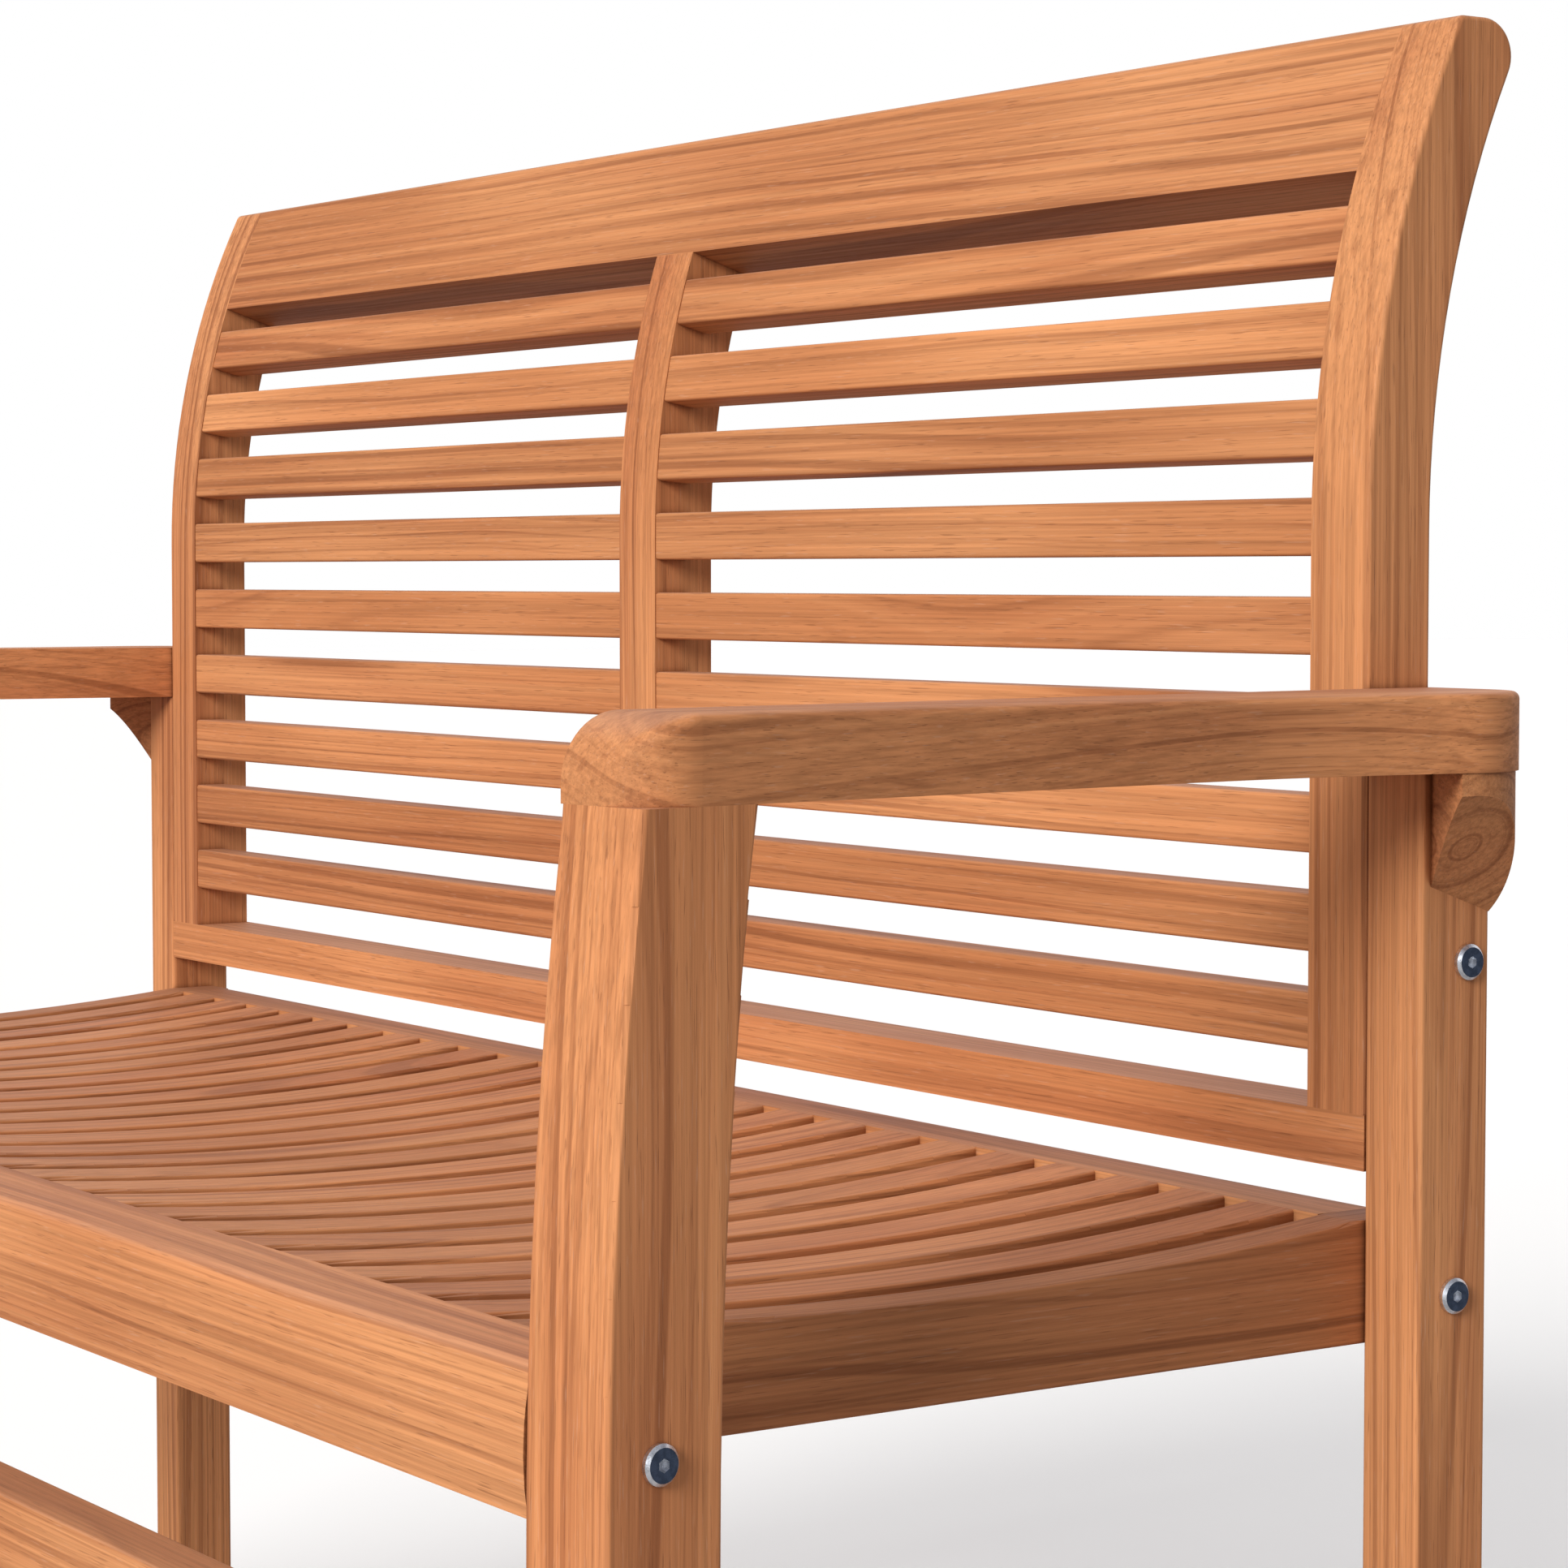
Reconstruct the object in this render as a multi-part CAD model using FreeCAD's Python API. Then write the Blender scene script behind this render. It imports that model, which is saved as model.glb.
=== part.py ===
"""Two-seat teak garden bench, built from its separate wooden pieces and its steel fasteners.

Units are millimetres.  X runs along the bench (+X is the sitter's left hand side, the right hand
side seen from the front), Y runs from front to back and Z is up.  While the pieces are drawn,
Y = 0 is the front face of the back legs; at the end everything is shifted so that the origin is
at the middle of the bench's bounding box, on the ground.
"""
import FreeCAD
import Part
import math
import os

V = FreeCAD.Vector

# ---------------------------------------------------------------- heights
SEAT_HEIGHT = 444.5            # top of the seat where the slats meet the rear rail
ARM_UNDERSIDE = 616.5          # top of the legs, where the arms sit
ARM_THICKNESS = 29.0
BACK_TOP = 900.0               # top edge of the back

# ---------------------------------------------------------------- back legs and back frame
INNER_HALF_WIDTH = 514.0       # half the distance between the back legs
REAR_LEG_WIDTH = 30.0
REAR_LEG_DEPTH = 35.0
STILE_WIDTH = 32.0
STILE_DEPTH = 32.0
BACK_RAIL_BOTTOM = 463.0
BACK_RAIL_HEIGHT = 21.3
BACK_RAIL_DEPTH = 35.0
CURVE_START = 705.4            # the back is upright below this height and curves back above it
CURVE_RADIUS = 440.8           # radius of the front face of the curved part
TOP_RAIL_BOTTOM = 844.8        # arc position of the top rail's lower edge
TOP_RAIL_THICKNESS = 30.0
TOP_FRONT_ROUND = 4.0
TOP_BACK_ROUND = 14.0
BACK_SLAT_ROWS = 9
BACK_SLAT_FIRST = 506.0        # arc position of the lowest slat's lower edge
BACK_SLAT_PITCH = 37.88
BACK_SLAT_HEIGHT = 22.2
BACK_SLAT_THICKNESS = 18.0
BACK_SLAT_SETBACK = 0.5        # slats sit this far behind the face of the stiles

# ---------------------------------------------------------------- seat
SEAT_FRONT_EDGE = -363.3       # back face of the front rail, where the slats start
SEAT_REAR_EDGE = -4.1          # front face of the rear rail, where the slats end
SEAT_BOTTOM = 397.4            # underside of the side rails and the rear rail
SEAT_DISH = 8.8                # depth of the dished seat below the line of its two ends
FRONT_TOP_DROP = 2.3           # the front end of the slats is this much lower than the rear end
REAR_RAIL_DEPTH = 29.0
FRONT_RAIL_DEPTH = 29.0
FRONT_RAIL_SLOPE = 2.0         # fall of the front rail's top before its rounded edge
FRONT_RAIL_BULGE = 1.8         # how far the front face swells in the middle of its height
FRONT_RAIL_BOTTOM = 391.7
FRONT_RAIL_NOSE = 8.0          # radius of the eased top front edge
SIDE_RAIL_WIDTH = 21.0
SEAT_SLAT_COUNT = 24
SEAT_SLAT_PITCH = 40.5
SEAT_SLAT_WIDTH = 26.9
SEAT_SLAT_THICKNESS = 20.0

# ---------------------------------------------------------------- side frames
TOE_IN = 6.0                   # degrees; the front legs are turned to follow the arms
FRONT_LEG_X = 558.0            # inner front corner of the front leg
FRONT_LEG_Y = -394.0
FRONT_LEG_WIDTH = 42.2
FRONT_LEG_DEPTH = 46.4
FRONT_LEG_STRAIGHT = 377.0     # the leg is upright below this height
FRONT_LEG_RADIUS = 1865.0      # and leans back along this radius above it
ARM_WIDEST = 578.5             # X of the arm's rear corner where it reaches furthest out
ARM_REAR_Y = 35.0
ARM_CORNER_RADIUS = 34.0
ARM_FLARE = 12.0               # degrees; how much the edge turns out in front of that corner
ARM_NOSE_RADIUS = 23.0
ARM_EASE = 2.8
NOSE_ZONE = 40                 # how far behind the front leg's middle the nose may reach

RAIL_TENON_FRONT, RAIL_TENON_BACK, RAIL_TENON_SHOULDER = 4, 16, 8
TOP_TENON_BELOW, TOP_TENON_ABOVE = 8, 14
BACK_TENON_FRONT, BACK_TENON_BACK = 9, 19
STILE_TENON_SHOULDER = 8
OVERLAP = 1                    # how far a tool starts inside its piece
SPARE_HEIGHT = 30              # extra height that is trimmed off again
SPARE_LENGTH = 600             # half length of a rail before it is trimmed
LOWER_RAIL_TOP = 315.0
LOWER_RAIL_HEIGHT = 45.0
LOWER_RAIL_DEPTH = 26.0
LOWER_RAIL_SETBACK = 10.0      # behind the front face of the front legs

# ---------------------------------------------------------------- arm brackets
BRACKET_LENGTH = 38.0          # how far the uncut bracket reaches out from the leg
BRACKET_FRONT = 4.7            # where its slanted front face starts on the leg
BRACKET_SLANT = 25.5           # degrees; the front face turns forward as it goes out
BRACKET_BACK = 34.4
BRACKET_LIP = 5.0              # upright edge under the arm's edge
BRACKET_FRONT_HEIGHT = 37.5    # height against the leg at the front
BRACKET_BACK_HEIGHT = 54.5     # and at the back
BRACKET_FRONT_HOLLOW = 3.0     # depth of the hollow underside at the front
BRACKET_BACK_HOLLOW = -3.0     # and at the back, where it swells instead
BRACKET_INSET = 0.8            # inside the arm's outer edge

# ---------------------------------------------------------------- joints
TENON_LENGTH = 10.0
LEG_TENON_HEIGHT = 16.0
LEG_TENON_SHOULDER = 9.0
REAR_TENON_SHOULDER = LEG_TENON_SHOULDER - 1
SLAT_TENON_SHOULDER = 4.0
EDGE_EASE = 2.0                # rounding of the long edges
SLAT_EASE = 1.5

# ---------------------------------------------------------------- fasteners
BOLT_DIAMETER = 6.0
BOLT_CLEARANCE = 0.5
HEAD_DIAMETER = 13.5
HEAD_HEIGHT = 2.6
HEAD_BEVEL = 1.1
SOCKET_WIDTH = 4.0
SOCKET_DEPTH = 1.9
BOLT_IN_RAIL = 44.0            # how far the rail bolts reach into a rail's end
NUT_FROM_END = 34.0            # centre of the barrel nut from the rail's end
NUT_DIAMETER = 10.0
NUT_LENGTH = 13.0
NUT_HOLE_DEPTH = 23.0
FRONT_BOLT_U = 20.5            # bolt centre behind the front leg's front face
FRONT_BOLT_Z = 413.6
LOWER_BOLT_Z = LOWER_RAIL_TOP - LOWER_RAIL_HEIGHT / 2
SEAT_BOLT_Y = 17.7
SEAT_BOLT_Z = 418.6
BACK_BOLT_Y = 23.8
BACK_BOLT_Z = 543.7
INSERT_DIAMETER = 9.0
INSERT_LENGTH = 16.0
DOWEL_DIAMETER = 8.0
DOWEL_LENGTH = 30.0
BACK_DOWEL_RISE = 6.5          # the bottom rail's dowel above the rail's underside
BRACKET_DOWEL_DIAMETER = 6.0
BRACKET_DOWEL_LENGTH = 16.0
BRACKET_DOWEL_DROP = 12.0

# ---------------------------------------------------------------- derived values
TOE = math.radians(TOE_IN)
ALONG = V(-math.sin(TOE), math.cos(TOE), 0)      # front to back along a right hand side frame
OUTWARD = V(math.cos(TOE), math.sin(TOE), 0)     # across it, away from the bench
FRONT_CORNER = V(FRONT_LEG_X, FRONT_LEG_Y, 0)
REAR_LEG_OUTER = INNER_HALF_WIDTH + REAR_LEG_WIDTH
STILE_INNER = INNER_HALF_WIDTH - STILE_WIDTH
SIDE_RAIL_INNER = INNER_HALF_WIDTH - SIDE_RAIL_WIDTH
STILE_FOOT = BACK_RAIL_BOTTOM + BACK_RAIL_HEIGHT
ARM_TOP = ARM_UNDERSIDE + ARM_THICKNESS
FRONT_TOP = SEAT_HEIGHT - FRONT_TOP_DROP
FAR = 2000.0


# ---------------------------------------------------------------- drawing helpers
def polygon_face(points):
    """A flat face through a closed list of points."""
    return Part.Face(Part.makePolygon(list(points) + [points[0]]))


def block(x0, x1, y0, y1, z0, z1):
    """A box between two corners."""
    return Part.makeBox(x1 - x0, y1 - y0, z1 - z0, V(x0, y0, z0))


def mirrored(shape):
    """The same piece for the left hand side of the bench."""
    return shape.mirror(V(0, 0, 0), V(1, 0, 0))


def both_sides(shape):
    """A piece and its mirror image, as two separate solids."""
    return [shape, mirrored(shape)]


def cut_all(shape, tools):
    """The shape with every tool removed from it."""
    return shape.cut(Part.makeCompound(tools)) if tools else shape


def one_solid(shape):
    """The single solid inside the result of a boolean."""
    return shape.Solids[0]


def long_edges(shape, direction, shortest):
    """Edges that run along a direction for at least the shortest length."""
    found = []
    for edge in shape.Edges:
        chord = edge.Vertexes[-1].Point.sub(edge.Vertexes[0].Point)
        if chord.Length >= shortest and abs(chord.normalize().dot(direction)) > 0.9:
            found.append(edge)
    return found


def eased(shape, direction, shortest, radius):
    """The shape with its long edges rounded."""
    return one_solid(shape.makeFillet(radius, long_edges(shape, direction, shortest)))


def rod(start, direction, length, diameter):
    """A round bar."""
    return Part.makeCylinder(diameter / 2, length, start, direction)


# ---------------------------------------------------------------- the curve of the back
def back_point(position, behind):
    """A point of the back's side profile.

    position is the height, measured along the front face's curve, and behind is the distance
    from the front face, square to it.
    """
    if position <= CURVE_START:
        return V(0, behind, position)
    angle = (position - CURVE_START) / CURVE_RADIUS
    radius = CURVE_RADIUS - behind
    return V(0, CURVE_RADIUS - radius * math.cos(angle), CURVE_START + radius * math.sin(angle))


def curved_side(first, last, behind):
    """The edges of one side of the back's profile between two positions."""
    edges = []
    if first < CURVE_START:
        edges.append(Part.LineSegment(back_point(first, behind), back_point(CURVE_START, behind)).toShape())
    start = max(first, CURVE_START)
    middle = (start + last) / 2
    points = [back_point(place, behind) for place in (start, middle, last)]
    edges.append(Part.Arc(*points).toShape())
    return edges


def curved_bar(x0, x1, first, last, front, back):
    """A bar that follows the back's curve, from x0 to x1 and from front to back of its thickness."""
    edges = curved_side(first, last, front) + curved_side(first, last, back)
    for place in (first, last):
        edges.append(Part.LineSegment(back_point(place, front), back_point(place, back)).toShape())
    wire = Part.Wire(Part.__sortEdges__(edges))
    bar = Part.Face(wire).extrude(V(x1 - x0, 0, 0))
    bar.translate(V(x0, 0, 0))
    return bar


def top_position():
    """The position along the curve where the front face reaches the top of the back."""
    return CURVE_START + CURVE_RADIUS * math.asin((BACK_TOP - CURVE_START) / CURVE_RADIUS)


def topped(bar, x0, x1):
    """A curved bar cut level at the top of the back, with its two top edges rounded."""
    bar = bar.cut(block(x0 - 1, x1 + 1, -FAR, FAR, BACK_TOP, FAR))
    bar = bar.makeFillet(TOP_BACK_ROUND, top_edges_across(bar)[-1:])
    return one_solid(bar.makeFillet(TOP_FRONT_ROUND, top_edges_across(bar)[:1]))


def top_edges_across(bar):
    """The edges along X at the top of the back, from front to back."""
    found = [edge for edge in long_edges(bar, V(1, 0, 0), 10) if abs(edge.CenterOfMass.z - BACK_TOP) < 0.01]
    return sorted(found, key=lambda edge: edge.CenterOfMass.y)


# ---------------------------------------------------------------- fasteners
def bolt(head_seat, inward, length):
    """A flat headed socket bolt; head_seat is where its head rests and inward its direction."""
    outward = inward * -1
    head = rod(head_seat, outward, HEAD_HEIGHT, HEAD_DIAMETER)
    rim = [edge for edge in head.Edges
           if edge.Curve.TypeId == "Part::GeomCircle"
           and edge.CenterOfMass.sub(head_seat).Length > HEAD_HEIGHT / 2]
    head = head.makeChamfer(HEAD_BEVEL, rim)
    corners = []
    side = V(0, 0, 1)
    across = outward.cross(side)
    floor = head_seat + outward * (HEAD_HEIGHT - SOCKET_DEPTH)
    for corner in range(6):
        angle = math.radians(60 * corner)
        reach = SOCKET_WIDTH / math.sqrt(3)
        corners.append(floor + side * (reach * math.cos(angle)) + across * (reach * math.sin(angle)))
    socket = polygon_face(corners).extrude(outward * (SOCKET_DEPTH + 1))
    shank = rod(head_seat, inward, length, BOLT_DIAMETER)
    return one_solid(head.fuse(shank).cut(socket).removeSplitter())


def bolt_hole(head_seat, inward, length):
    """The clearance hole for a bolt, as a tool to cut with."""
    start = head_seat - inward
    return rod(start, inward, length + 2, BOLT_DIAMETER + BOLT_CLEARANCE)


def barrel_nut(centre, axis, bolt_direction):
    """A cross dowel nut with its threaded hole along the bolt."""
    nut = rod(centre - axis * (NUT_LENGTH / 2), axis, NUT_LENGTH, NUT_DIAMETER)
    return one_solid(nut.cut(rod(centre - bolt_direction * NUT_DIAMETER, bolt_direction,
                                 2 * NUT_DIAMETER, BOLT_DIAMETER)))


def nut_hole(centre, axis):
    """The blind hole in a rail for a barrel nut, open on the side that axis points to."""
    start = centre - axis * (NUT_LENGTH / 2)
    return rod(start, axis, NUT_HOLE_DEPTH, NUT_DIAMETER)


# ---------------------------------------------------------------- places of the fasteners
def front_bolt_seat(height):
    """Where a bolt head rests on the outer face of the right hand front leg."""
    place = FRONT_CORNER + OUTWARD * FRONT_LEG_WIDTH + ALONG * (FRONT_BOLT_U + front_lean(height))
    return place + V(0, 0, height)


def front_lean(height):
    """How far the front leg's front face has leaned back at a height."""
    rise = max(0.0, height - FRONT_LEG_STRAIGHT)
    return FRONT_LEG_RADIUS - math.sqrt(FRONT_LEG_RADIUS ** 2 - rise ** 2)


FRONT_BOLT_LENGTH = FRONT_LEG_WIDTH + BOLT_IN_RAIL
SEAT_BOLT_LENGTH = REAR_LEG_WIDTH + SIDE_RAIL_WIDTH + BOLT_IN_RAIL
BACK_BOLT_LENGTH = REAR_LEG_WIDTH + INSERT_LENGTH - 1
FRONT_SEATS = [front_bolt_seat(FRONT_BOLT_Z), front_bolt_seat(LOWER_BOLT_Z)]
SEAT_BOLT_SEAT = V(REAR_LEG_OUTER, SEAT_BOLT_Y, SEAT_BOLT_Z)
BACK_BOLT_SEAT = V(REAR_LEG_OUTER, BACK_BOLT_Y, BACK_BOLT_Z)
INWARD = OUTWARD * -1
LEFTWARD = V(-1, 0, 0)
BACKWARD = V(0, 1, 0)


def front_nut_centre(seat):
    """Centre of the barrel nut that a front bolt screws into."""
    return seat + INWARD * (FRONT_LEG_WIDTH + NUT_FROM_END)


def seat_nut_centre():
    """Centre of the barrel nut in the rear seat rail."""
    return SEAT_BOLT_SEAT + LEFTWARD * (REAR_LEG_WIDTH + SIDE_RAIL_WIDTH + NUT_FROM_END)


def front_dowel(height, u_place, z_shift):
    """A locating dowel between a front leg and the rail that meets it."""
    middle = FRONT_CORNER + ALONG * (u_place + front_lean(height)) + V(0, 0, height + z_shift)
    return rod(middle - OUTWARD * (DOWEL_LENGTH / 2), OUTWARD, DOWEL_LENGTH, DOWEL_DIAMETER)


def back_rail_dowel():
    """A locating dowel between a back leg and the back's bottom rail."""
    middle = V(INNER_HALF_WIDTH, REAR_LEG_DEPTH / 2, BACK_RAIL_BOTTOM + BACK_DOWEL_RISE)
    return rod(middle + LEFTWARD * (DOWEL_LENGTH / 2), V(1, 0, 0), DOWEL_LENGTH, DOWEL_DIAMETER)


def bracket_dowel(z_place):
    """A dowel that holds the bracket on the back leg."""
    middle = V(REAR_LEG_OUTER, (BRACKET_FRONT + BRACKET_BACK) / 2, z_place)
    start = middle + LEFTWARD * (BRACKET_DOWEL_LENGTH / 2)
    return rod(start, V(1, 0, 0), BRACKET_DOWEL_LENGTH, BRACKET_DOWEL_DIAMETER)


FRONT_DOWELS = [front_dowel(FRONT_BOLT_Z, FRONT_BOLT_U - 2, 15), front_dowel(LOWER_BOLT_Z, FRONT_BOLT_U, 13)]
BRACKET_DOWELS = [bracket_dowel(ARM_UNDERSIDE - BRACKET_DOWEL_DROP)]


# ---------------------------------------------------------------- side frames
def front_leg():
    """The right hand front leg: upright at the foot, leaning back towards the arm."""
    def profile_point(u_place, height):
        return FRONT_CORNER + ALONG * (u_place + front_lean(height)) + V(0, 0, height)

    middle = (FRONT_LEG_STRAIGHT + ARM_UNDERSIDE) / 2
    edges = []
    for u_place in (0.0, FRONT_LEG_DEPTH):
        foot, knee = profile_point(u_place, 0), profile_point(u_place, FRONT_LEG_STRAIGHT)
        edges.append(Part.LineSegment(foot, knee).toShape())
        bow, head = profile_point(u_place, middle), profile_point(u_place, ARM_UNDERSIDE)
        edges.append(Part.Arc(knee, bow, head).toShape())
    for height in (0.0, ARM_UNDERSIDE):
        front, back = profile_point(0, height), profile_point(FRONT_LEG_DEPTH, height)
        edges.append(Part.LineSegment(front, back).toShape())
    leg = Part.Face(Part.Wire(Part.__sortEdges__(edges))).extrude(OUTWARD * FRONT_LEG_WIDTH)
    leg = eased(leg, V(0, 0, 1), 100, EDGE_EASE)
    leg = one_solid(leg.fuse(leg_tenon()).removeSplitter())
    holes = [bolt_hole(seat, INWARD, FRONT_LEG_WIDTH) for seat in FRONT_SEATS]
    return one_solid(cut_all(leg, holes + FRONT_DOWELS))


def leg_tenon():
    """The tenon that joins the front leg to the arm."""
    lean = front_lean(ARM_UNDERSIDE)
    start = FRONT_CORNER + ALONG * (lean + LEG_TENON_SHOULDER) + OUTWARD * LEG_TENON_SHOULDER
    start = start + V(0, 0, ARM_UNDERSIDE)
    length = FRONT_LEG_DEPTH - 2 * LEG_TENON_SHOULDER
    width = FRONT_LEG_WIDTH - 2 * LEG_TENON_SHOULDER
    corners = [start, start + ALONG * length,
               start + ALONG * length + OUTWARD * width, start + OUTWARD * width]
    return polygon_face(corners).extrude(V(0, 0, LEG_TENON_HEIGHT))


def rear_leg_tenon():
    """The tenon that joins the back leg to the arm."""
    return block(INNER_HALF_WIDTH + REAR_TENON_SHOULDER, REAR_LEG_OUTER - REAR_TENON_SHOULDER,
                 LEG_TENON_SHOULDER, REAR_LEG_DEPTH - LEG_TENON_SHOULDER,
                 ARM_UNDERSIDE, ARM_UNDERSIDE + LEG_TENON_HEIGHT)


def rear_leg():
    """The right hand back leg, a straight post that stops under the arm."""
    leg = block(INNER_HALF_WIDTH, REAR_LEG_OUTER, 0, REAR_LEG_DEPTH, 0, ARM_UNDERSIDE)
    leg = eased(leg, V(0, 0, 1), 100, EDGE_EASE)
    leg = leg.fuse(rear_leg_tenon()).removeSplitter()
    holes = [bolt_hole(SEAT_BOLT_SEAT, LEFTWARD, REAR_LEG_WIDTH),
             bolt_hole(BACK_BOLT_SEAT, LEFTWARD, REAR_LEG_WIDTH),
             back_rail_dowel()]
    return one_solid(cut_all(leg, holes + BRACKET_DOWELS))


def arm_outer_edges(start, height):
    """The arm's outer edge: a straight run, a long hollow arc and the round rear corner."""
    centre = V(ARM_WIDEST - ARM_CORNER_RADIUS, ARM_REAR_Y - ARM_CORNER_RADIUS, height)
    flare = math.radians(ARM_FLARE)

    def on_corner(angle):
        return centre + V(math.cos(angle), math.sin(angle), 0) * ARM_CORNER_RADIUS

    corner_start = on_corner(-flare)
    corner_tangent = V(math.sin(flare), math.cos(flare), 0)
    turn = TOE + flare
    gap = corner_start - start
    meeting = gap.dot(OUTWARD) / corner_tangent.dot(OUTWARD)
    elbow = corner_start - corner_tangent * meeting
    bend = elbow - ALONG * meeting
    hollow = elbow - (OUTWARD * -1 + V(-math.cos(flare), math.sin(flare), 0)).normalize() * (
        meeting * math.tan(turn / 4))
    return [Part.LineSegment(start, bend).toShape(),
            Part.Arc(bend, hollow, corner_start).toShape(),
            Part.Arc(corner_start, on_corner(math.radians(45 - ARM_FLARE / 2)),
                     on_corner(math.pi / 2)).toShape()]


def arm_plan(height):
    """The outline of the right hand arm, seen from above, as a face at a height."""
    front_inner = FRONT_CORNER + ALONG * front_lean(ARM_UNDERSIDE) + V(0, 0, height)
    front_outer = front_inner + OUTWARD * FRONT_LEG_WIDTH
    corners = [V(ARM_WIDEST - ARM_CORNER_RADIUS, ARM_REAR_Y, height),
               V(INNER_HALF_WIDTH, ARM_REAR_Y, height),
               V(INNER_HALF_WIDTH, 0, height), front_inner, front_outer]
    edges = arm_outer_edges(front_outer, height)
    edges += [Part.LineSegment(here, there).toShape() for here, there in zip(corners, corners[1:])]
    return Part.Face(Part.Wire(Part.__sortEdges__(edges)))


def arm():
    """The right hand arm: a board on the two legs with a rounded nose."""
    board = arm_plan(ARM_UNDERSIDE).extrude(V(0, 0, ARM_THICKNESS))
    nose_end = FRONT_LEG_Y + NOSE_ZONE
    rim = [edge for edge in board.Edges
           if edge.BoundBox.ZMin > ARM_TOP - 0.01 and edge.BoundBox.YMax > nose_end]
    outer_rim = [edge for edge in rim
                 if edge.CenterOfMass.x > FRONT_LEG_X or edge.BoundBox.YMin > ARM_REAR_Y - 1]
    board = board.makeFillet(ARM_EASE, outer_rim)
    nose = [edge for edge in board.Edges
            if edge.BoundBox.ZMin > ARM_TOP - 0.01 and edge.BoundBox.YMax < nose_end and edge.Length > 20]
    board = board.makeFillet(ARM_NOSE_RADIUS, nose)
    return one_solid(cut_all(board, [leg_tenon(), rear_leg_tenon()]))


def bracket_profile(y_place, height, hollow):
    """A bracket's outline square to the leg, with a slanted and slightly curved underside."""
    inner, outer = REAR_LEG_OUTER, REAR_LEG_OUTER + BRACKET_LENGTH
    corners = [V(inner, y_place, ARM_UNDERSIDE - height), V(inner, y_place, ARM_UNDERSIDE),
               V(outer, y_place, ARM_UNDERSIDE), V(outer, y_place, ARM_UNDERSIDE - BRACKET_LIP)]
    chord = corners[-1] - corners[0]
    middle = corners[0] + chord * 0.5 + V(-chord.z, 0, chord.x).normalize() * hollow
    edges = [Part.LineSegment(here, there).toShape() for here, there in zip(corners, corners[1:])]
    edges.append(Part.Arc(corners[-1], middle, corners[0]).toShape())
    return Part.Wire(edges)


def arm_bracket():
    """The right hand corbel, under the part of the arm that overhangs the back leg."""
    reach_forward = BRACKET_LENGTH * math.tan(math.radians(BRACKET_SLANT))
    first = BRACKET_FRONT - reach_forward
    profiles = [bracket_profile(first, BRACKET_FRONT_HEIGHT, BRACKET_FRONT_HOLLOW),
                bracket_profile(BRACKET_BACK, BRACKET_BACK_HEIGHT, BRACKET_BACK_HOLLOW)]
    corbel = Part.makeLoft(profiles, True, True)
    outline = arm_plan(ARM_UNDERSIDE - 100).extrude(V(0, 0, 100))
    outline.translate(V(-BRACKET_INSET, -BRACKET_INSET, 0))
    corbel = corbel.common(outline)
    cutter = polygon_face([V(REAR_LEG_OUTER - 1, BRACKET_FRONT, 0), V(REAR_LEG_OUTER, BRACKET_FRONT, 0),
                           V(REAR_LEG_OUTER + BRACKET_LENGTH, first, 0),
                           V(REAR_LEG_OUTER + BRACKET_LENGTH, first - 50, 0),
                           V(REAR_LEG_OUTER - 1, first - 50, 0)]).extrude(V(0, 0, FAR))
    return one_solid(cut_all(corbel, [cutter] + BRACKET_DOWELS))


# ---------------------------------------------------------------- rails between the side frames
def trimmed_to_front_legs(rail):
    """A cross rail cut at both ends to the turned inner faces of the front legs."""
    outside = polygon_face([FRONT_CORNER - ALONG * 200, FRONT_CORNER + ALONG * 200,
                            FRONT_CORNER + ALONG * 200 + OUTWARD * 200,
                            FRONT_CORNER - ALONG * 200 + OUTWARD * 200]).extrude(V(0, 0, FAR))
    return rail.cut(outside).cut(mirrored(outside))


def front_rail_holes(seat_index):
    """Bolt, nut and dowel holes in the two ends of a rail between the front legs."""
    seat = FRONT_SEATS[seat_index]
    tools = [bolt_hole(seat, INWARD, FRONT_BOLT_LENGTH), nut_hole(front_nut_centre(seat), BACKWARD),
             FRONT_DOWELS[seat_index]]
    return tools + [mirrored(tool) for tool in tools]


def front_section():
    """Cross section of the front seat rail, with its eased top edge and full front face."""
    back, front = SEAT_FRONT_EDGE, SEAT_FRONT_EDGE - FRONT_RAIL_DEPTH
    low, high = FRONT_RAIL_BOTTOM, FRONT_TOP
    nose = FRONT_RAIL_NOSE
    brow = V(0, front + nose, high - FRONT_RAIL_SLOPE)
    cheek = V(0, front, brow.z - nose)
    nose_middle = V(0, front + nose * (1 - math.sqrt(0.5)), brow.z - nose * (1 - math.sqrt(0.5)))
    chin = V(0, front, low)
    swell = V(0, front - FRONT_RAIL_BULGE, (low + cheek.z) / 2)
    edges = [Part.LineSegment(V(0, back, low), V(0, back, high)).toShape(),
             Part.LineSegment(V(0, back, high), brow).toShape(),
             Part.Arc(brow, nose_middle, cheek).toShape(),
             Part.Arc(cheek, swell, chin).toShape(),
             Part.LineSegment(chin, V(0, back, low)).toShape()]
    return Part.Face(Part.Wire(Part.__sortEdges__(edges)))


def seat_front_rail():
    """The rail across the front of the seat, bolted between the front legs."""
    rail = front_section().extrude(V(2 * 600, 0, 0))
    rail.translate(V(-600, 0, 0))
    rail = trimmed_to_front_legs(rail)
    tools = front_rail_holes(0) + both_sides(side_rail_tenon())
    tools += [seat_slat_tenon(index, True) for index in range(SEAT_SLAT_COUNT)]
    return one_solid(cut_all(rail, tools))


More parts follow.
